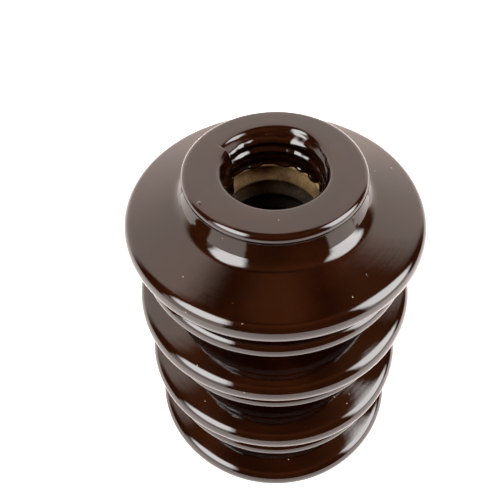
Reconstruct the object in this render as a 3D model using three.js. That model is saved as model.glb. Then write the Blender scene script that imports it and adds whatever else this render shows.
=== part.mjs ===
// Pin-type porcelain insulator, standing on its crown with the threaded pin hole upwards.
// Millimetres, +Z up. The origin is the centre of the bare foot that it stands on.
// The fired body and its glaze are two materials, so each is a solid of its own.

import * as THREE from "three";

// ---- driving dimensions -------------------------------------------------

const SHED_COUNT = 4;
const SHED_SPACING = 36.35;
const SHED_RADIUS = 50;
const SHED_NOSE = 4.25;                // radius of the rounded shed edge
const TOP_SHED_HEIGHT = 150;           // foot to the middle of the top shed's edge
const SHED_TOP_SLOPE = radians(18);    // the upper surface falls outwards
const SHED_UNDER_SLOPE = radians(5);   // the underside falls outwards to a drip edge

const RIB_RADII = [46.2, 44.9, 46.3];  // small sheds between the large ones, from the top
const RIB_DROP = 14.9;                 // each rib's edge below the shed above it
const RIB_NOSE = 3;

const CORE_RADIUS = 33;                // the trunk between the sheds
const ROOT_FILLET = 4;                 // where a large shed's top meets the trunk
const SMALL_FILLET = 2;                // the same at undersides and ribs

const FACE_HEIGHT = 170.2;             // the pin-hole end face
const HEAD_RADIUS = 29.5;              // rolled rim round that face
const HEAD_EDGE = 2.2;
const HEAD_THICKNESS = 4.2;
const RIM_FILLET = 1.8;
const NECK_SLOPE = radians(57);        // the neck widens downwards to its foot
const NECK_FOOT_RADIUS = 30.2;
const NECK_FOOT_HEIGHT = 160.9;
const NECK_FOOT_FILLET = 0.6;
const FLARE_SLOPE = radians(47);       // below the foot, down to the top shed
const FLARE_FILLET = 6;
const HEAD_STEPS = 2;

const CROWN_RADIUS = 31;               // the wire end, which the insulator stands on
const CROWN_THICKNESS = 13;
const CROWN_EDGE = 4;
const CROWN_SHOULDER = 3;
const TIE_GROOVE_RADIUS = 7;           // side groove for the tie wire
const TIE_NECK_RADIUS = 25;
const TIE_GROOVE_TOP = 27;

const BORE_MINOR_RADIUS = 16.2;        // thread crests at the mouth
const THREAD_DEPTH = 2.8;
const THREAD_PITCH = 6.5;
const THREAD_LENGTH = 46;
const BORE_TAPER = 0.03;               // loss of radius for each millimetre of depth
const BORE_DEPTH = 58;
const MOUTH_RADIUS = 17.9;
const MOUTH_FLARE_DEPTH = 4.5;

const NOTCH_AZIMUTH = radians(150);    // where the thread breaks out through the end face
const FIRST_CREST_DEPTH = -0.6;        // depth of the first crest at the notch
const RUNOUT_RADIUS = 20.2;            // the end face is cut back to this along the run-out
const RUNOUT_FADE_START = radians(75);
const RUNOUT_FADE_END = radians(145);

const GLAZE_THICKNESS = 0.5;
const BOND_GAP = 0.3;                  // clearance that stands for the fused bond
const BORE_BOND_GAP = 0.6;             // the same, where the steep thread flanks narrow it
const GLAZE_BORE_DEPTH = 14;           // the glaze stops here and the thread below is bare
const GLAZE_STEP = 1.6;                // depth of the wall's step back out to the bare thread
const GLAZE_FOOT_HEIGHT = 1.2;         // bare foot below this

const SEGMENTS = 24;
const NOSE_STEPS = 4;
const FILLET_STEPS = 1;
const THREAD_ROWS_PER_TURN = 4;

// ---- small helpers ------------------------------------------------------

function radians(degrees) {
  return degrees * Math.PI / 180;
}

function point(radius, height) {
  return new THREE.Vector2(radius, height);
}

// A corner of an outline, with the radius that rounds it.
function corner(radius, height, fillet, steps = FILLET_STEPS) {
  return { at: point(radius, height), fillet, steps };
}

// The sharp corner whose rounding is an edge of the given outer radius and nose radius.
function noseCorner(outerRadius, height, nose) {
  const centre = point(outerRadius - nose, height);
  const upper = point(Math.sin(SHED_TOP_SLOPE), Math.cos(SHED_TOP_SLOPE));
  const lower = point(-Math.sin(SHED_UNDER_SLOPE), -Math.cos(SHED_UNDER_SLOPE));
  const upperReach = centre.dot(upper) + nose;
  const lowerReach = centre.dot(lower) + nose;
  const cross = upper.x * lower.y - upper.y * lower.x;
  const radius = (upperReach * lower.y - lowerReach * upper.y) / cross;
  const z = (lowerReach * upper.x - upperReach * lower.x) / cross;
  return corner(radius, z, nose, NOSE_STEPS);
}

// Rounds each corner of an open outline with an arc tangent to both its sides.
function roundCorners(corners) {
  const outline = [];
  corners.forEach(({ at, fillet, steps }, index) => {
    if (fillet === 0) {
      outline.push(at);
      return;
    }
    const before = corners[index - 1].at.clone().sub(at).normalize();
    const after = corners[index + 1].at.clone().sub(at).normalize();
    const halfAngle = Math.acos(THREE.MathUtils.clamp(before.dot(after), -1, 1)) / 2;
    const towardsCentre = before.clone().add(after).normalize();
    const centre = at.clone().addScaledVector(towardsCentre, fillet / Math.sin(halfAngle));
    const start = at.clone().addScaledVector(before, fillet / Math.tan(halfAngle)).sub(centre);
    const turn = Math.PI - 2 * halfAngle;
    const sense = Math.sign(after.clone().cross(before));
    for (let step = 0; step <= steps; step += 1) {
      const spoke = start.clone().rotateAround(point(0, 0), sense * turn * step / steps);
      outline.push(spoke.add(centre));
    }
  });
  return outline;
}

// The direction square to the left of the way from one point to another.
function leftOf(from, to) {
  const along = to.clone().sub(from).normalize();
  return point(-along.y, along.x);
}

// Moves each side of an open outline the same distance into the material on its left.
function insetOutline(outline, distance) {
  return outline.map((at, index) => {
    const next = outline[Math.min(index + 1, outline.length - 1)];
    const previous = outline[Math.max(index - 1, 0)];
    const arriving = index > 0 ? leftOf(previous, at) : leftOf(at, next);
    const leaving = next !== at ? leftOf(at, next) : arriving;
    const mitre = arriving.clone().add(leaving).normalize();
    return at.clone().addScaledVector(mitre, distance / mitre.dot(arriving));
  });
}

// ---- the glazed outside, from the crown up to the pin-hole face ---------

// Height on a shed's or rib's upper surface, above the middle of its edge.
function upperRise(outerRadius, nose, radius) {
  const run = outerRadius - nose - radius;
  return run * Math.tan(SHED_TOP_SLOPE) + nose / Math.cos(SHED_TOP_SLOPE);
}

// Height on its underside, below the middle of its edge.
function underDrop(outerRadius, nose, radius) {
  const run = outerRadius - nose - radius;
  return nose / Math.cos(SHED_UNDER_SLOPE) - run * Math.tan(SHED_UNDER_SLOPE);
}

// One large shed or small rib, from its lower root to its upper root on the trunk.
function shedCorners(outerRadius, height, nose, upperFillet) {
  const lowerRoot = height - underDrop(outerRadius, nose, CORE_RADIUS);
  const upperRoot = height + upperRise(outerRadius, nose, CORE_RADIUS);
  return [
    corner(CORE_RADIUS, lowerRoot, SMALL_FILLET),
    noseCorner(outerRadius, height, nose),
    corner(CORE_RADIUS, upperRoot, upperFillet),
  ];
}

function ribCorners(tier) {
  const height = TOP_SHED_HEIGHT - (tier - 1) * SHED_SPACING - RIB_DROP;
  return shedCorners(RIB_RADII[tier - 1], height, RIB_NOSE, SMALL_FILLET);
}

function crownCorners() {
  return [
    corner(CROWN_RADIUS - CROWN_EDGE, 0, 0),
    corner(CROWN_RADIUS, 0, CROWN_EDGE, NOSE_STEPS),
    corner(CROWN_RADIUS, CROWN_THICKNESS, CROWN_SHOULDER),
    corner(TIE_NECK_RADIUS, CROWN_THICKNESS, TIE_GROOVE_RADIUS - CROWN_SHOULDER),
    corner(TIE_NECK_RADIUS, TIE_GROOVE_TOP, TIE_GROOVE_RADIUS - CROWN_SHOULDER),
    corner(CORE_RADIUS, TIE_GROOVE_TOP + CORE_RADIUS - TIE_NECK_RADIUS, 0),
  ];
}

// The flare above the top shed, the neck cone, and the head's rim and face edge.
function headCorners() {
  const shedAtFoot = TOP_SHED_HEIGHT + upperRise(SHED_RADIUS, SHED_NOSE, NECK_FOOT_RADIUS);
  const flareRun = (NECK_FOOT_HEIGHT - shedAtFoot) / (Math.tan(FLARE_SLOPE) - Math.tan(SHED_TOP_SLOPE));
  const flareFoot = NECK_FOOT_HEIGHT - flareRun * Math.tan(FLARE_SLOPE);
  const rimUnderside = FACE_HEIGHT - HEAD_THICKNESS;
  const waistRadius = NECK_FOOT_RADIUS - (rimUnderside - NECK_FOOT_HEIGHT) / Math.tan(NECK_SLOPE);
  return [
    corner(NECK_FOOT_RADIUS + flareRun, flareFoot, FLARE_FILLET, HEAD_STEPS),
    corner(NECK_FOOT_RADIUS, NECK_FOOT_HEIGHT, NECK_FOOT_FILLET),
    corner(waistRadius, rimUnderside, 0),
    corner(HEAD_RADIUS, rimUnderside, RIM_FILLET, HEAD_STEPS),
    corner(HEAD_RADIUS, FACE_HEIGHT, HEAD_EDGE, NOSE_STEPS),
    corner(RUNOUT_RADIUS + HEAD_EDGE, FACE_HEIGHT, 0),
  ];
}

function glazedOutline() {
  const corners = crownCorners();
  for (let tier = SHED_COUNT - 1; tier >= 0; tier -= 1) {
    const height = TOP_SHED_HEIGHT - tier * SHED_SPACING;
    corners.push(...shedCorners(SHED_RADIUS, height, SHED_NOSE, ROOT_FILLET));
    if (tier > 0) {
      corners.push(...ribCorners(tier));
    }
  }
  corners.pop();
  corners.push(...headCorners());
  return roundCorners(corners).filter((at) => at.y >= GLAZE_FOOT_HEIGHT);
}

// ---- the pin hole -------------------------------------------------------

// Wall radius of the threaded hole. The crest runs down clockwise from the notch, and
// the end face is cut back where the first groove opens through it.
function boreRadius(azimuth, depth) {
  const travel = THREE.MathUtils.euclideanModulo(NOTCH_AZIMUTH - azimuth, 2 * Math.PI);
  const crestDepth = FIRST_CREST_DEPTH + THREAD_PITCH * travel / (2 * Math.PI);
  const crestRadius = BORE_MINOR_RADIUS - BORE_TAPER * depth;
  const turns = Math.max(depth - crestDepth, 0) / THREAD_PITCH;
  const threaded = crestRadius + THREAD_DEPTH * (1 - Math.cos(2 * Math.PI * turns)) / 2;
  const flare = THREE.MathUtils.lerp(MOUTH_RADIUS, crestRadius, Math.min(depth / MOUTH_FLARE_DEPTH, 1));
  const grooveDepth = crestDepth + THREAD_PITCH / 2;
  if (depth >= grooveDepth) {
    return Math.max(threaded, flare);
  }
  const opened = THREE.MathUtils.lerp(RUNOUT_RADIUS, crestRadius + THREAD_DEPTH, depth / grooveDepth);
  const fade = THREE.MathUtils.smoothstep(travel, RUNOUT_FADE_START, RUNOUT_FADE_END);
  return Math.max(threaded, flare, THREE.MathUtils.lerp(opened, flare, fade));
}

// Rows of the bore wall between two depths. Each is set back behind the bore's surface.
function boreRows(fromDepth, toDepth, setBack) {
  const count = Math.ceil((toDepth - fromDepth) * THREAD_ROWS_PER_TURN / THREAD_PITCH);
  const rows = [];
  for (let index = 0; index <= count; index += 1) {
    const depth = THREE.MathUtils.lerp(fromDepth, toDepth, index / count);
    rows.push({ depth, setBack, height: FACE_HEIGHT - depth });
  }
  return rows;
}

// The glazed stretch of the bore, whose first row lies under the end face by the set-back.
function glazedBoreRows(setBack) {
  const rows = boreRows(0, GLAZE_BORE_DEPTH, setBack);
  rows[0].height -= setBack;
  return rows;
}

// ---- solids of revolution with a threaded stretch -----------------------

function plainRows(outline) {
  return outline.map((at) => ({ radius: at.x, height: at.y }));
}

// Revolves the rows about the axis, then sets the bore rows to the thread's own radius.
function revolve(rows) {
  const profile = rows.map((row) => point(row.radius ?? MOUTH_RADIUS, row.height));
  const geometry = new THREE.LatheGeometry(profile, SEGMENTS);
  geometry.rotateX(Math.PI / 2);
  const positions = geometry.getAttribute("position");
  for (let index = 0; index < positions.count; index += 1) {
    const row = rows[index % rows.length];
    if (row.depth !== undefined) {
      const azimuth = Math.atan2(positions.getY(index), positions.getX(index));
      const radius = boreRadius(azimuth, row.depth) + row.setBack;
      positions.setX(index, radius * Math.cos(azimuth));
      positions.setY(index, radius * Math.sin(azimuth));
    }
  }
  geometry.computeVertexNormals();
  return geometry;
}

function bodyGeometry() {
  const setBack = GLAZE_THICKNESS + BOND_GAP;
  const outside = plainRows(insetOutline(glazedOutline(), setBack));
  const glazed = glazedBoreRows(GLAZE_THICKNESS + BORE_BOND_GAP);
  glazed.at(-1).height -= BOND_GAP;
  const bare = boreRows(GLAZE_BORE_DEPTH + GLAZE_STEP, THREAD_LENGTH, 0);
  const drillRadius = BORE_MINOR_RADIUS - BORE_TAPER * THREAD_LENGTH;
  const endCone = roundCorners([
    corner(drillRadius, FACE_HEIGHT - THREAD_LENGTH - THREAD_DEPTH, 0),
    corner(drillRadius, FACE_HEIGHT - BORE_DEPTH, drillRadius / 2, NOSE_STEPS / 2),
    corner(0, FACE_HEIGHT - BORE_DEPTH, 0),
  ]);
  const foot = [point(0, 0), point(CROWN_RADIUS - CROWN_EDGE, 0)];
  return revolve([...plainRows(foot), ...outside, ...glazed, ...bare, ...plainRows(endCone)]);
}

function glazeGeometry() {
  const outline = glazedOutline();
  const outer = [...plainRows(outline), ...glazedBoreRows(0)];
  const inner = [...plainRows(insetOutline(outline, GLAZE_THICKNESS)), ...glazedBoreRows(GLAZE_THICKNESS)];
  inner.reverse();
  return revolve([...outer, ...inner, outer[0]]);
}

// ---- assembly -----------------------------------------------------------

function namedMesh(name, geometry, colour, roughness) {
  const material = new THREE.MeshStandardMaterial({ color: colour, roughness, metalness: 0 });
  const mesh = new THREE.Mesh(geometry, material);
  mesh.name = name;
  return mesh;
}

const group = new THREE.Group();
group.add(namedMesh("porcelain_body", bodyGeometry(), "#8c7d5f", 0.75));
group.add(namedMesh("glaze_coat", glazeGeometry(), "#2b0d05", 0.12));

export default group;
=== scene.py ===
"""Looks of a brown-glazed pin-type porcelain insulator, standing on its crown with the pin hole up.

Profiles are in millimetres, as in the CAD, and are turned into metres where the meshes are made.
"""

import math

import bpy
import numpy as np
from mathutils import Matrix, Vector


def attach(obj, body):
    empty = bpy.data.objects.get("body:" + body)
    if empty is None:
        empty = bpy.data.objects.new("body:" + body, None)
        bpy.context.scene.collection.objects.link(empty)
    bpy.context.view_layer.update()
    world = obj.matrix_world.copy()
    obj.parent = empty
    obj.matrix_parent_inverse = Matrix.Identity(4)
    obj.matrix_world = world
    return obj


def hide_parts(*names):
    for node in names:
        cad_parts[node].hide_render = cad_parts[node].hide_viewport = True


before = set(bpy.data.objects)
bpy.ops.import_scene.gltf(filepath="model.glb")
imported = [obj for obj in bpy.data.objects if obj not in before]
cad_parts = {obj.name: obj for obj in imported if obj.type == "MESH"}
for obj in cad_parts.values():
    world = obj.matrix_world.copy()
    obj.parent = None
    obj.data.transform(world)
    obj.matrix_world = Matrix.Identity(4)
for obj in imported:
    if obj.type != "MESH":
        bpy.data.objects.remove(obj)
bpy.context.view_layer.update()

# ---- dimensions shared with the CAD, in millimetres ----------------------

MM = 0.001

SHED_COUNT = 4
SHED_SPACING = 36.35
SHED_RADIUS = 50
SHED_NOSE = 4.25
TOP_SHED_HEIGHT = 150
SHED_TOP_SLOPE = math.radians(18)
SHED_UNDER_SLOPE = math.radians(5)

RIB_RADII = (46.2, 44.9, 46.3)
RIB_DROP = 14.9
RIB_NOSE = 3

CORE_RADIUS = 33
ROOT_FILLET = 4
SMALL_FILLET = 2

FACE_HEIGHT = 170.2
HEAD_RADIUS = 29.5
HEAD_EDGE = 2.2
HEAD_THICKNESS = 4.2
RIM_FILLET = 1.8
NECK_SLOPE = math.radians(57)
NECK_FOOT_RADIUS = 30.2
NECK_FOOT_HEIGHT = 160.9
NECK_FOOT_FILLET = 0.6
FLARE_SLOPE = math.radians(47)
FLARE_FILLET = 6

CROWN_RADIUS = 31
CROWN_THICKNESS = 13
CROWN_EDGE = 4
CROWN_SHOULDER = 3
TIE_GROOVE_RADIUS = 7
TIE_NECK_RADIUS = 25
TIE_GROOVE_TOP = 27

BORE_MINOR_RADIUS = 16.2
THREAD_DEPTH = 2.8
THREAD_PITCH = 6.5
THREAD_LENGTH = 46
BORE_TAPER = 0.03
BORE_DEPTH = 58
MOUTH_RADIUS = 17.9
MOUTH_FLARE_DEPTH = 4.5
MOUTH_LIP = 1.3

NOTCH_AZIMUTH = math.radians(150)
FIRST_CREST_DEPTH = -0.6
RUNOUT_RADIUS = 20.2
RUNOUT_FADE = (math.radians(75), math.radians(145))

GLAZE_THICKNESS = 0.5
BOND_GAP = 0.3
GLAZE_FOOT_HEIGHT = 1.2

# ---- surface resolution and hand-made unevenness --------------------------

COLUMNS = 360
ARC_STEP = 0.5
STRAIGHT_STEP = 2.0
BORE_STEP = 0.3
HIDDEN_STEP = 3.0

WOBBLE = 0.10
RIPPLE_COUNT = 9

GLAZE_BUILD = 0.35
GLAZE_BEAD = 0.9
GLAZE_EDGE_DEPTH = 12.3
GLAZE_EDGE_CLIMB = 6.5
GLAZE_EDGE_RAGGED = 0.35

LUMP_COUNT = 16
LUMP_LOBES = (5, 24)
LUMP_PITCHES = (0.2, 1.2)
LUMP_HEIGHT = 0.16
LUMP_START = (0.4, 2.0)
CREST_SHARPNESS = 2.2                  # the fired thread's crests are narrower than its grooves
GROOVE_FILL = 2.1                      # glaze pooled in the grooves
FILL_CURVE = 0.62

rng = np.random.default_rng(7)

# ---- the studio ------------------------------------------------------------

ROOM_COLOUR = (0.62, 0.19, 0.07)
ROOM_DIMNESS = 0.45                    # share of that colour near the horizon
CEILING_ELEVATION = (30, 60)
CEILING_GAP = (67, 80, 6)              # a darker ring round the middle of the ceiling, and its softness
GAP_DARKNESS = 0.65
# left and right azimuth, softness, top and its softness in degrees (0 is behind the object), colour
WORLD_PANELS = (
    (-77, 57, 8, 66, 9, (2.2, 1.95, 1.8)),
    (-149, -106, 2, 21, 6, (2.5, 2.3, 2.15)),
    (86, 121, 2, 14, 6, (2.7, 2.45, 2.25)),
)
# azimuth and elevation of the centre, half width and height, lean, radiance
LAMPS = (
    (-126, 41, 25, 24, 0.25, 14),
    (97, 34, 24, 27, -0.1, 13),
)
LAMP_SQUARENESS = 3.2
LAMP_CORE = 0.15
# painted pools of light: glow added to the floor's own material where each lamp would brighten it, in metres, and by
# how much
PAINTED_LIGHT_POOLS = ((-0.57, -0.40), (0.68, -0.18))
PAINTED_POOL_RADIUS = 0.75
PAINTED_POOL_GLOW = 2.2
FLOOR_GLOW = 0.42
BACKDROP_COLOUR = (1, 1, 1, 1)


# ---- material values -------------------------------------------------------

GLAZE_THICK_COLOUR = (0.0018, 0.0003, 0.0001, 1)
GLAZE_THIN_COLOUR = (0.006, 0.0012, 0.0003, 1)
RUST_COLOUR = (0.035, 0.010, 0.002, 1)
DUST_COLOUR = (0.30, 0.24, 0.17, 1)
PEEL_HEIGHT = 0.03                     # heights and depths in millimetres
LINE_HEIGHT = 0.014
PIT_DEPTH = 0.05
GRIT_HEIGHT = 0.05
FACE_MARK = (-0.0224, -0.0156, 0.1702)
FACE_MARK_SIZE = 0.5
FACE_MARK_HEIGHT = 0.3

BISQUE_PALE = (0.23, 0.155, 0.065, 1)
BISQUE_BROWN = (0.09, 0.046, 0.014, 1)
BISQUE_GRAIN = (0.045, 0.028, 0.012, 1)
# painted shade: the bare bore's colour is darkened towards this with depth, standing in for the shade deep in the pin
# hole
BORE_SHADE_COLOUR = (0.003, 0.0015, 0.0006, 1)
BORE_SHADE_DEPTHS = (0.014, 0.030)          # metres below the face, from no painted shade to full painted shade
RING_HEIGHT = 0.12
SAND_HEIGHT = 0.05


# ---- outlines ------------------------------------------------------------

def smoothstep(value, low, high):
    t = np.clip((value - low) / (high - low), 0, 1)
    return t * t * (3 - 2 * t)


def corner(radius, height, fillet=0.0):
    return np.array([radius, height], float), fillet


def nose_corner(outer_radius, height, nose):
    """The sharp corner whose rounding is an edge of this outer radius and nose radius."""
    centre = np.array([outer_radius - nose, height])
    upper = np.array([math.sin(SHED_TOP_SLOPE), math.cos(SHED_TOP_SLOPE)])
    lower = np.array([-math.sin(SHED_UNDER_SLOPE), -math.cos(SHED_UNDER_SLOPE)])
    reach = np.array([centre @ upper + nose, centre @ lower + nose])
    radius, z = np.linalg.solve(np.array([upper, lower]), reach)
    return corner(radius, z, nose)


def upper_rise(outer_radius, nose, radius):
    run = outer_radius - nose - radius
    return run * math.tan(SHED_TOP_SLOPE) + nose / math.cos(SHED_TOP_SLOPE)


def under_drop(outer_radius, nose, radius):
    run = outer_radius - nose - radius
    return nose / math.cos(SHED_UNDER_SLOPE) - run * math.tan(SHED_UNDER_SLOPE)


def shed_corners(outer_radius, height, nose, upper_fillet):
    lower_root = height - under_drop(outer_radius, nose, CORE_RADIUS)
    upper_root = height + upper_rise(outer_radius, nose, CORE_RADIUS)
    return [
        corner(CORE_RADIUS, lower_root, SMALL_FILLET),
        nose_corner(outer_radius, height, nose),
        corner(CORE_RADIUS, upper_root, upper_fillet),
    ]


def crown_corners():
    groove_fillet = TIE_GROOVE_RADIUS - CROWN_SHOULDER
    return [
        corner(CROWN_RADIUS - CROWN_EDGE, 0),
        corner(CROWN_RADIUS, 0, CROWN_EDGE),
        corner(CROWN_RADIUS, CROWN_THICKNESS, CROWN_SHOULDER),
        corner(TIE_NECK_RADIUS, CROWN_THICKNESS, groove_fillet),
        corner(TIE_NECK_RADIUS, TIE_GROOVE_TOP, groove_fillet),
        corner(CORE_RADIUS, TIE_GROOVE_TOP + CORE_RADIUS - TIE_NECK_RADIUS),
    ]


def head_corners():
    """The flare above the top shed, the neck cone, and the head's rim and face edge."""
    shed_at_foot = TOP_SHED_HEIGHT + upper_rise(SHED_RADIUS, SHED_NOSE, NECK_FOOT_RADIUS)
    flare_run = (NECK_FOOT_HEIGHT - shed_at_foot) / (math.tan(FLARE_SLOPE) - math.tan(SHED_TOP_SLOPE))
    flare_foot = NECK_FOOT_HEIGHT - flare_run * math.tan(FLARE_SLOPE)
    rim_underside = FACE_HEIGHT - HEAD_THICKNESS
    waist_radius = NECK_FOOT_RADIUS - (rim_underside - NECK_FOOT_HEIGHT) / math.tan(NECK_SLOPE)
    return [
        corner(NECK_FOOT_RADIUS + flare_run, flare_foot, FLARE_FILLET),
        corner(NECK_FOOT_RADIUS, NECK_FOOT_HEIGHT, NECK_FOOT_FILLET),
        corner(waist_radius, rim_underside),
        corner(HEAD_RADIUS, rim_underside, RIM_FILLET),
        corner(HEAD_RADIUS, FACE_HEIGHT, HEAD_EDGE),
        corner(RUNOUT_RADIUS + HEAD_EDGE, FACE_HEIGHT),
    ]


def outside_corners():
    corners = crown_corners()
    for tier in reversed(range(SHED_COUNT)):
        height = TOP_SHED_HEIGHT - tier * SHED_SPACING
        corners += shed_corners(SHED_RADIUS, height, SHED_NOSE, ROOT_FILLET)
        if tier > 0:
            rib_height = height + SHED_SPACING - RIB_DROP
            corners += shed_corners(RIB_RADII[tier - 1], rib_height, RIB_NOSE, SMALL_FILLET)
    return corners[:-1] + head_corners()


def unit(vector):
    return vector / np.linalg.norm(vector)


def rounded(corners, arc_step):
    """Points along the outline with its corners rounded, and how convex each one is, from -1 to 1."""
    points, convexity = [], []
    for index, (at, fillet) in enumerate(corners):
        if fillet == 0:
            points.append(at)
            convexity.append(0.0)
            continue
        before = unit(corners[index - 1][0] - at)
        after = unit(corners[index + 1][0] - at)
        half = math.acos(max(-1, min(1, before @ after))) / 2
        centre = at + unit(before + after) * fillet / math.sin(half)
        spoke = at + before * fillet / math.tan(half) - centre
        sense = np.sign(after[0] * before[1] - after[1] * before[0])
        turn = math.pi - 2 * half
        steps = max(2, math.ceil(turn * fillet / arc_step))
        for step in range(steps + 1):
            angle = sense * turn * step / steps
            cos, sin = math.cos(angle), math.sin(angle)
            points.append(centre + (spoke[0] * cos - spoke[1] * sin, spoke[0] * sin + spoke[1] * cos))
            convexity.append(sense * math.sin(math.pi * step / steps))
    return np.array(points), np.array(convexity)


def densified(points, values, longest):
    """The same outline with its straight stretches cut into steps."""
    out_points, out_values = [points[0]], [values[0]]
    for index in range(1, len(points)):
        start, end = points[index - 1], points[index]
        count = max(1, math.ceil(np.linalg.norm(end - start) / longest))
        for step in range(1, count + 1):
            t = step / count
            out_points.append(start + (end - start) * t)
            out_values.append(values[index - 1] * (1 - t) + values[index] * t)
    return np.array(out_points), np.array(out_values)


def inset(points, distance):
    """The outline moved the same distance into the material on its left."""
    sides = np.diff(points, axis=0)
    sides /= np.linalg.norm(sides, axis=1)[:, None]
    lefts = np.stack([-sides[:, 1], sides[:, 0]], axis=1)
    arriving = np.vstack([lefts[:1], lefts])
    leaving = np.vstack([lefts, lefts[-1:]])
    mitre = arriving + leaving
    mitre /= np.linalg.norm(mitre, axis=1)[:, None]
    return points + mitre * (distance / np.sum(mitre * arriving, axis=1))[:, None]


# ---- the pin hole --------------------------------------------------------

AZIMUTHS = NOTCH_AZIMUTH - 2 * math.pi * np.arange(COLUMNS) / COLUMNS
TRAVEL = 2 * math.pi * np.arange(COLUMNS) / COLUMNS


CREST_DEPTH = FIRST_CREST_DEPTH + THREAD_PITCH * TRAVEL / (2 * math.pi)


def crest_share(depth):
    """1 on the thread's crest and 0 at the bottom of its groove, for each column."""
    turns = np.maximum(depth - CREST_DEPTH, 0) / THREAD_PITCH
    return ((1 + np.cos(2 * math.pi * turns)) / 2) ** CREST_SHARPNESS


def bore_radius(depth):
    """Wall radius of the threaded hole for each column, at that depth or those depths."""
    crest_radius = BORE_MINOR_RADIUS - BORE_TAPER * depth
    threaded = crest_radius + THREAD_DEPTH * (1 - crest_share(depth))
    fade = smoothstep(TRAVEL, *RUNOUT_FADE)
    plain_flare = MOUTH_RADIUS + (crest_radius - MOUTH_RADIUS) * np.minimum(depth / MOUTH_FLARE_DEPTH, 1)
    groove_depth = CREST_DEPTH + THREAD_PITCH / 2
    groove_radius = crest_radius + THREAD_DEPTH
    open_share = np.clip(depth / groove_depth, 0, 1)
    opened = np.where(depth < groove_depth, RUNOUT_RADIUS + (groove_radius - RUNOUT_RADIUS) * open_share, 0)
    flare = np.maximum(opened + (plain_flare - opened) * fade, plain_flare)
    lip_share = np.clip(1 - depth / MOUTH_LIP, 0, 1)
    lip = MOUTH_LIP * (1 - np.sqrt(1 - lip_share ** 2))
    return np.maximum(threaded, flare) + lip


def lumps(depth, seed_rng):
    """Uneven thickness of the glaze that ran down the thread, from 0 to about 1."""
    total = np.zeros_like(depth)
    for _ in range(LUMP_COUNT):
        lobes = seed_rng.integers(*LUMP_LOBES)
        pitch = seed_rng.uniform(*LUMP_PITCHES) * seed_rng.choice((-1, 1))
        total += np.cos(lobes * AZIMUTHS + pitch * depth + seed_rng.uniform(0, 2 * math.pi))
    return np.clip(0.5 + total / math.sqrt(LUMP_COUNT) / 2, 0, 1.2)


def waves(count, lowest, highest, seed_rng):
    """A smooth random curve round the axis, with a mean of 0 and a spread near 1."""
    total = np.zeros(COLUMNS)
    for _ in range(count):
        lobes = seed_rng.integers(lowest, highest)
        total += np.cos(lobes * AZIMUTHS + seed_rng.uniform(0, 2 * math.pi))
    return total * math.sqrt(2 / count)


# ---- meshes --------------------------------------------------------------

def ring(radius, height):
    """One row of the revolved grid. Either value may differ from column to column."""
    radius = np.broadcast_to(radius, COLUMNS)
    height = np.broadcast_to(height, COLUMNS)
    return np.stack([radius * np.cos(AZIMUTHS), radius * np.sin(AZIMUTHS), height], axis=1)


class Unevenness:
    """Low hand-turned wobble, the same for the body and its glaze."""

    def __init__(self, seed_rng):
        self.lobes = seed_rng.integers(1, 5, RIPPLE_COUNT)
        self.pitch = seed_rng.uniform(-0.09, 0.09, RIPPLE_COUNT)
        self.phase = seed_rng.uniform(0, 2 * math.pi, (2, RIPPLE_COUNT))

    def field(self, points, which):
        azimuth = np.arctan2(points[:, 1], points[:, 0])
        total = np.zeros(len(points))
        for lobes, pitch, phase in zip(self.lobes, self.pitch, self.phase[which]):
            total += np.cos(lobes * azimuth + pitch * points[:, 2] + phase)
        return total * math.sqrt(2 / RIPPLE_COUNT)

    def applied(self, points):
        radius = np.hypot(points[:, 0], points[:, 1])
        share = radius / SHED_RADIUS
        radial = WOBBLE * share * self.field(points, 0) / np.maximum(radius, 1)
        lift = WOBBLE * share ** 2 * self.field(points, 1) * smoothstep(points[:, 2], 2, 25)
        lift *= 1 - smoothstep(points[:, 2], FACE_HEIGHT - 6, FACE_HEIGHT - 1)
        moved = points.copy()
        moved[:, :2] *= (1 + radial)[:, None]
        moved[:, 2] += lift
        return moved


unevenness = Unevenness(rng)


def mesh_object(name, points, faces):
    mesh = bpy.data.meshes.new(name)
    mesh.from_pydata([tuple(p) for p in unevenness.applied(points) * MM], [], faces)
    mesh.validate()
    mesh.shade_smooth()
    obj = bpy.data.objects.new(name, mesh)
    bpy.context.scene.collection.objects.link(obj)
    return obj


def quads(first_row, second_row):
    """Faces between two rows of vertex numbers."""
    last = COLUMNS - 1
    return [
        (first_row + c, second_row + c, second_row + (c + 1) % COLUMNS, first_row + (c + 1) % COLUMNS)
        for c in range(last + 1)
    ]


def point_values(obj, name, values):
    attribute = obj.data.attributes.new(name, "FLOAT", "POINT")
    attribute.data.foreach_set("value", np.asarray(values, np.float32).ravel())


def outside_rows(distance, arc_step, longest):
    points, convexity = rounded(outside_corners(), arc_step)
    keep = points[:, 1] >= GLAZE_FOOT_HEIGHT
    points, convexity = points[keep], convexity[keep]
    if distance:
        points = inset(points, distance)
    return densified(points, convexity, longest)


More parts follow.
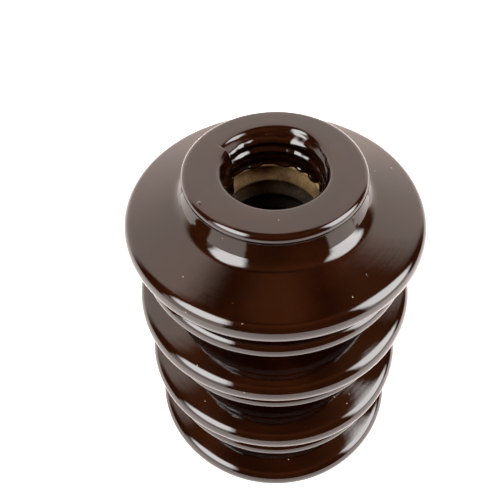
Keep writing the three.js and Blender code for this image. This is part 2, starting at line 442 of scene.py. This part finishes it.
def make_glaze_skin():
    outer, convexity = outside_rows(0, ARC_STEP, STRAIGHT_STEP)
    rows = [ring(radius, height) for radius, height in outer]
    convex = [np.full(COLUMNS, value) for value in convexity]

    edge_depth = GLAZE_EDGE_DEPTH + GLAZE_EDGE_CLIMB * TRAVEL / (2 * math.pi)
    edge_depth = edge_depth + GLAZE_EDGE_RAGGED * waves(9, 2, 26, rng)
    bore_rows = math.ceil((GLAZE_EDGE_DEPTH + GLAZE_EDGE_CLIMB) / BORE_STEP)
    shares = (np.arange(bore_rows + 1) / bore_rows) ** 1.2
    thickness = lumps(shares[:, None] * edge_depth, rng)
    for share, lump in zip(shares, thickness):
        depth = edge_depth * share
        pooled = GROOVE_FILL * (1 - crest_share(depth) ** FILL_CURVE)
        build = GLAZE_BUILD + (pooled + LUMP_HEIGHT * lump) * smoothstep(depth, *LUMP_START)
        build = build * np.sqrt(np.clip(1 - smoothstep(depth, edge_depth - GLAZE_BEAD, edge_depth), 0, 1))
        rows.append(ring(bore_radius(depth) - build, FACE_HEIGHT - depth))
        convex.append(np.full(COLUMNS, 0.0))

    hidden, _ = outside_rows(GLAZE_THICKNESS, HIDDEN_STEP, HIDDEN_STEP * 2)
    back = [ring(radius, height) for radius, height in hidden]
    for index in range(1, 13):
        depth = GLAZE_THICKNESS + (edge_depth - GLAZE_THICKNESS) * index / 12
        back.append(ring(bore_radius(depth) + BOND_GAP / 2, FACE_HEIGHT - depth))
    rows += back[::-1]
    convex += [np.zeros(COLUMNS)] * len(back)

    faces = []
    for index in range(len(rows)):
        following = (index + 1) % len(rows)
        faces += quads(index * COLUMNS, following * COLUMNS)
    obj = mesh_object("glaze_skin", np.vstack(rows), faces)
    point_values(obj, "convexity", np.vstack(convex))
    return obj


def make_bisque_body():
    set_back = GLAZE_THICKNESS + BOND_GAP
    outside, _ = outside_rows(set_back, 1.5, HIDDEN_STEP)
    rows = [ring(radius, 0) for radius in (9, 18, CROWN_RADIUS - CROWN_EDGE)]
    rows += [ring(radius, height) for radius, height in outside]
    threaded = THREAD_LENGTH - set_back
    steps = math.ceil(threaded / BORE_STEP)
    for index in range(steps + 1):
        depth = set_back + threaded * index / steps
        rows.append(ring(bore_radius(np.full(COLUMNS, depth)), FACE_HEIGHT - depth))
    drill_radius = BORE_MINOR_RADIUS - BORE_TAPER * THREAD_LENGTH
    end, _ = rounded([
        corner(drill_radius, FACE_HEIGHT - THREAD_LENGTH - THREAD_DEPTH),
        corner(drill_radius, FACE_HEIGHT - BORE_DEPTH, drill_radius / 2),
        corner(2, FACE_HEIGHT - BORE_DEPTH),
    ], 1.0)
    rows += [ring(radius, height) for radius, height in end]

    points = np.vstack(rows + [[[0, 0, 0], [0, 0, FACE_HEIGHT - BORE_DEPTH]]])
    foot_centre, end_centre = len(points) - 2, len(points) - 1
    last_row = (len(rows) - 1) * COLUMNS
    faces = []
    for index in range(len(rows) - 1):
        faces += quads(index * COLUMNS, (index + 1) * COLUMNS)
    faces += [(foot_centre, c, (c + 1) % COLUMNS) for c in range(COLUMNS)]
    faces += [(end_centre, last_row + (c + 1) % COLUMNS, last_row + c) for c in range(COLUMNS)]
    return mesh_object("bisque_body", points, faces)


# ---- materials -----------------------------------------------------------

def new_material(name):
    material = bpy.data.materials.new(name)
    material.use_nodes = True
    tree = material.node_tree
    shader = next(node for node in tree.nodes if node.type == "BSDF_PRINCIPLED")
    return material, tree, shader


class Nodes:
    """Short calls for building a node tree."""

    def __init__(self, tree):
        self.tree = tree

    def add(self, kind, inputs=(), **settings):
        node = self.tree.nodes.new(kind)
        for name, value in settings.items():
            setattr(node, name, value)
        for name, value in dict(inputs).items():
            self.feed(node.inputs[name], value)
        return node

    def feed(self, socket, value):
        if isinstance(value, bpy.types.NodeSocket):
            self.tree.links.new(value, socket)
        else:
            socket.default_value = value

    def math(self, operation, first, second=0.0, clamp=False):
        inputs = {0: first, 1: second}
        return self.add("ShaderNodeMath", inputs, operation=operation, use_clamp=clamp).outputs[0]

    def step(self, value, low, high, to_low=0.0, to_high=1.0):
        """A smooth step from one value to another as the input goes from low to high."""
        inputs = {"Value": value, "From Min": low, "From Max": high, "To Min": to_low, "To Max": to_high}
        return self.add("ShaderNodeMapRange", inputs, interpolation_type="SMOOTHSTEP").outputs[0]

    def scaled(self, colour, factor):
        inputs = {0: colour, "Scale": factor}
        return self.add("ShaderNodeVectorMath", inputs, operation="SCALE").outputs[0]

    def summed(self, first, second):
        return self.add("ShaderNodeVectorMath", {0: first, 1: second}, operation="ADD").outputs[0]

    def band(self, value, low, high, soft):
        """1 between low and high, and 0 outside them, with soft ends."""
        rising = self.step(value, low - soft, low + soft)
        falling = self.step(value, high - soft, high + soft, 1.0, 0.0)
        return self.math("MULTIPLY", rising, falling)

    def noise(self, where, size, detail):
        """Noise of that size in millimetres, mostly between 0.3 and 0.7."""
        inputs = {"Vector": where, "Scale": 1 / (size * MM), "Detail": detail}
        return self.add("ShaderNodeTexNoise", inputs).outputs["Fac"]

    def mixed(self, factor, first, second):
        node = self.add("ShaderNodeMix", data_type="RGBA")
        colours = [socket for socket in node.inputs if socket.type == "RGBA"]
        self.feed(node.inputs["Factor"], factor)
        for socket, colour in zip(colours, (first, second)):
            self.feed(socket, colour)
        return next(socket for socket in node.outputs if socket.type == "RGBA")

    def bump(self, height):
        """Surface relief from a height in millimetres."""
        return self.add("ShaderNodeBump", {"Height": height, "Distance": MM}).outputs["Normal"]


def spots(nodes, where, spacing, size, chosen):
    """Small scattered dots, 1 at the middle of each and 0 away from them."""
    cells = nodes.add("ShaderNodeTexVoronoi", {"Vector": where, "Scale": 1 / (spacing * MM)})
    pick, _, _ = nodes.add("ShaderNodeSeparateXYZ", {0: cells.outputs["Color"]}).outputs
    dots = nodes.step(cells.outputs["Distance"], 0, size / spacing, 1.0, 0.0)
    return nodes.math("MULTIPLY", dots, nodes.math("LESS_THAN", pick, chosen))


def turned_lines(nodes, where, spacing):
    """Noise that only changes along the profile, as turning tools leave it."""
    x, y, z = nodes.add("ShaderNodeSeparateXYZ", {0: where}).outputs
    radius = nodes.math("SQRT", nodes.math("ADD", nodes.math("MULTIPLY", x, x), nodes.math("MULTIPLY", y, y)))
    profile = nodes.add("ShaderNodeCombineXYZ", {0: radius, 1: z}).outputs[0]
    return nodes.noise(profile, spacing, 3)


def glaze_material():
    """Dark brown glaze: nearly black where it is thick, redder where it is thin on edges."""
    material, tree, shader = new_material("brown_glaze")
    nodes = Nodes(tree)
    where = nodes.add("ShaderNodeTexCoord").outputs["Object"]
    convexity = nodes.add("ShaderNodeAttribute", attribute_name="convexity").outputs["Fac"]
    patches = nodes.noise(where, 16, 4)
    mottle = nodes.noise(where, 2.5, 3)
    thin = nodes.math("ADD", nodes.step(patches, 0.35, 0.7), nodes.math("MULTIPLY", mottle, 0.35))
    thin = nodes.math("ADD", thin, nodes.math("MULTIPLY", convexity, 0.35), clamp=True)
    dust = spots(nodes, where, 5.5, 0.38, 0.40)
    rust = spots(nodes, where, 3, 0.4, 0.12)
    colour = nodes.mixed(thin, GLAZE_THICK_COLOUR, GLAZE_THIN_COLOUR)
    colour = nodes.mixed(rust, colour, RUST_COLOUR)
    colour = nodes.mixed(nodes.math("MULTIPLY", dust, 0.7), colour, DUST_COLOUR)
    nodes.feed(shader.inputs["Base Color"], colour)
    smears = nodes.step(nodes.noise(where, 11, 5), 0.5, 0.75, 0.045, 0.10)
    nodes.feed(shader.inputs["Roughness"], nodes.math("ADD", smears, nodes.math("MULTIPLY", dust, 0.4)))
    shader.inputs["IOR"].default_value = 1.5

    peel = nodes.math("MULTIPLY", nodes.noise(where, 5, 2), PEEL_HEIGHT)
    lines = nodes.math("MULTIPLY", turned_lines(nodes, where, 1.6), LINE_HEIGHT)
    pits = nodes.math("MULTIPLY", spots(nodes, where, 9, 0.5, 0.25), -PIT_DEPTH)
    grit = nodes.math("MULTIPLY", dust, GRIT_HEIGHT)
    blob_distance = nodes.add("ShaderNodeVectorMath", {0: where, 1: FACE_MARK}, operation="DISTANCE").outputs["Value"]
    lumpy = nodes.math("ADD", blob_distance, nodes.math("MULTIPLY", nodes.noise(where, 1.5, 3), FACE_MARK_SIZE * MM))
    blob = nodes.step(lumpy, FACE_MARK_SIZE * MM, FACE_MARK_SIZE * 2.2 * MM, FACE_MARK_HEIGHT, 0.0)
    height = nodes.math("ADD", nodes.math("ADD", peel, lines), nodes.math("ADD", pits, nodes.math("ADD", grit, blob)))
    nodes.feed(shader.inputs["Normal"], nodes.bump(height))
    return material


def bisque_material():
    """Bare fired body: tan, grainy and ringed by the turning tool, with painted shade that darkens it deep in the hole.
    """
    material, tree, shader = new_material("bisque")
    nodes = Nodes(tree)
    where = nodes.add("ShaderNodeTexCoord").outputs["Object"]
    _, _, z = nodes.add("ShaderNodeSeparateXYZ", {0: where}).outputs
    stain = nodes.step(nodes.noise(where, 7, 4), 0.35, 0.7)
    colour = nodes.mixed(stain, BISQUE_PALE, BISQUE_BROWN)
    grain = nodes.noise(where, 0.6, 3)
    colour = nodes.mixed(nodes.step(grain, 0.45, 0.8, 0.0, 0.5), colour, BISQUE_GRAIN)
    # painted shade: the bore's colour darkens towards the shade colour as the hole gets deeper, except at the foot
    depth = nodes.math("SUBTRACT", FACE_HEIGHT * MM, z)
    painted_bore_shade = nodes.step(nodes.math("ADD", depth, nodes.math("MULTIPLY", grain, 2 * MM)), *BORE_SHADE_DEPTHS)
    bare_foot = nodes.step(z, 0.04, 0.06)
    colour = nodes.mixed(nodes.math("MULTIPLY", painted_bore_shade, bare_foot), colour, BORE_SHADE_COLOUR)
    nodes.feed(shader.inputs["Base Color"], colour)
    nodes.feed(shader.inputs["Roughness"], nodes.step(grain, 0.3, 0.7, 0.72, 0.92))
    shader.inputs["Specular IOR Level"].default_value = 0.25
    rings = nodes.math("MULTIPLY", turned_lines(nodes, where, 0.9), RING_HEIGHT)
    sand = nodes.math("MULTIPLY", grain, SAND_HEIGHT)
    nodes.feed(shader.inputs["Normal"], nodes.bump(nodes.math("ADD", rings, sand)))
    return material


def floor_material():
    material, tree, shader = new_material("white_sweep")
    nodes = Nodes(tree)
    where = nodes.add("ShaderNodeTexCoord").outputs["Object"]
    floor_glow_and_painted_pools = FLOOR_GLOW
    # painted pools of light: the floor's even glow is raised round each lamp's spot, standing in for the light the
    # lamps throw
    for x, y in PAINTED_LIGHT_POOLS:
        away = nodes.add("ShaderNodeVectorMath", {0: where, 1: (x, y, 0)}, operation="DISTANCE").outputs["Value"]
        floor_glow_and_painted_pools = nodes.math("ADD", nodes.step(away, 0, PAINTED_POOL_RADIUS, PAINTED_POOL_GLOW, 0.0), floor_glow_and_painted_pools)
    nodes.feed(shader.inputs["Emission Strength"], floor_glow_and_painted_pools)
    shader.inputs["Base Color"].default_value = (0.85, 0.85, 0.85, 1)
    shader.inputs["Roughness"].default_value = 0.9
    shader.inputs["Emission Color"].default_value = (1.0, 0.96, 0.93, 1)
    return material


# ---- the scene -----------------------------------------------------------

glaze = make_glaze_skin()
glaze.data.materials.append(glaze_material())
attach(glaze, "root")
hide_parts("glaze_coat")

bisque = make_bisque_body()
bisque.data.materials.append(bisque_material())
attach(bisque, "root")
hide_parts("porcelain_body")


def make_floor():
    size = 4.0
    mesh = bpy.data.meshes.new("floor")
    corners = [(-size, -size, 0), (size, -size, 0), (size, size, 0), (-size, size, 0)]
    mesh.from_pydata(corners, [], [(0, 1, 2, 3)])
    obj = bpy.data.objects.new("floor", mesh)
    bpy.context.scene.collection.objects.link(obj)
    mesh.materials.append(floor_material())


def make_camera():
    pitch, yaw, roll = (math.radians(angle) for angle in (49.51, -3.28, -2.16))
    forward = Vector((math.sin(yaw) * math.cos(pitch), math.cos(yaw) * math.cos(pitch), -math.sin(pitch)))
    level = Vector((math.cos(yaw), -math.sin(yaw), 0))
    upright = level.cross(forward)
    right = level * math.cos(roll) + upright * math.sin(roll)
    up = upright * math.cos(roll) - level * math.sin(roll)
    data = bpy.data.cameras.new("camera")
    data.lens = 46.58
    data.sensor_width = 36
    data.clip_start = 0.01
    obj = bpy.data.objects.new("camera", data)
    rotation = Matrix((right, up, -forward)).transposed().to_4x4()
    obj.matrix_world = Matrix.Translation((0, -0.1503, 0.3069)) @ rotation
    bpy.context.scene.collection.objects.link(obj)
    bpy.context.scene.camera = obj


def make_world():
    """A dim warm room with a white back wall, pale stands and two soft lamps."""
    world = bpy.data.worlds.new("studio")
    world.use_nodes = True
    bpy.context.scene.world = world
    nodes = Nodes(world.node_tree)
    direction = nodes.add("ShaderNodeTexCoord").outputs["Generated"]
    x, y, z = nodes.add("ShaderNodeSeparateXYZ", {0: direction}).outputs
    azimuth = nodes.math("DEGREES", nodes.math("ARCTAN2", x, y))
    elevation = nodes.math("DEGREES", nodes.math("ARCSINE", z))
    ceiling = nodes.step(elevation, *CEILING_ELEVATION, ROOM_DIMNESS, 1.0)
    ceiling = nodes.math("SUBTRACT", ceiling, nodes.math("MULTIPLY", nodes.band(elevation, *CEILING_GAP), GAP_DARKNESS))
    total = nodes.scaled(ROOM_COLOUR, ceiling)
    for left, right, soft_side, top, soft_top, colour in WORLD_PANELS:
        across = nodes.band(azimuth, left, right, soft_side)
        up = nodes.step(elevation, top - soft_top, top + soft_top, 1.0, 0.0)
        total = nodes.summed(total, nodes.scaled(colour, nodes.math("MULTIPLY", across, up)))
    for centre_azimuth, centre_elevation, half_width, half_height, tilt, radiance in LAMPS:
        height = nodes.math("SUBTRACT", elevation, centre_elevation)
        lean = nodes.math("MULTIPLY", height, tilt)
        width = nodes.math("SUBTRACT", nodes.math("SUBTRACT", azimuth, centre_azimuth), lean)
        wide = nodes.math("POWER", nodes.math("DIVIDE", nodes.math("ABSOLUTE", width), half_width), LAMP_SQUARENESS)
        tall = nodes.math("POWER", nodes.math("DIVIDE", nodes.math("ABSOLUTE", height), half_height), LAMP_SQUARENESS)
        lobe = nodes.step(nodes.math("ADD", wide, tall), LAMP_CORE, 1.0, 1.0, 0.0)
        total = nodes.summed(total, nodes.scaled((radiance,) * 3, lobe))
    seen_directly = nodes.add("ShaderNodeLightPath").outputs["Is Camera Ray"]
    background = world.node_tree.nodes["Background"]
    nodes.feed(background.inputs["Color"], nodes.mixed(seen_directly, total, BACKDROP_COLOUR))
    background.inputs["Strength"].default_value = 1.0


bpy.context.scene.view_settings.view_transform = "Standard"
make_floor()
make_camera()
make_world()
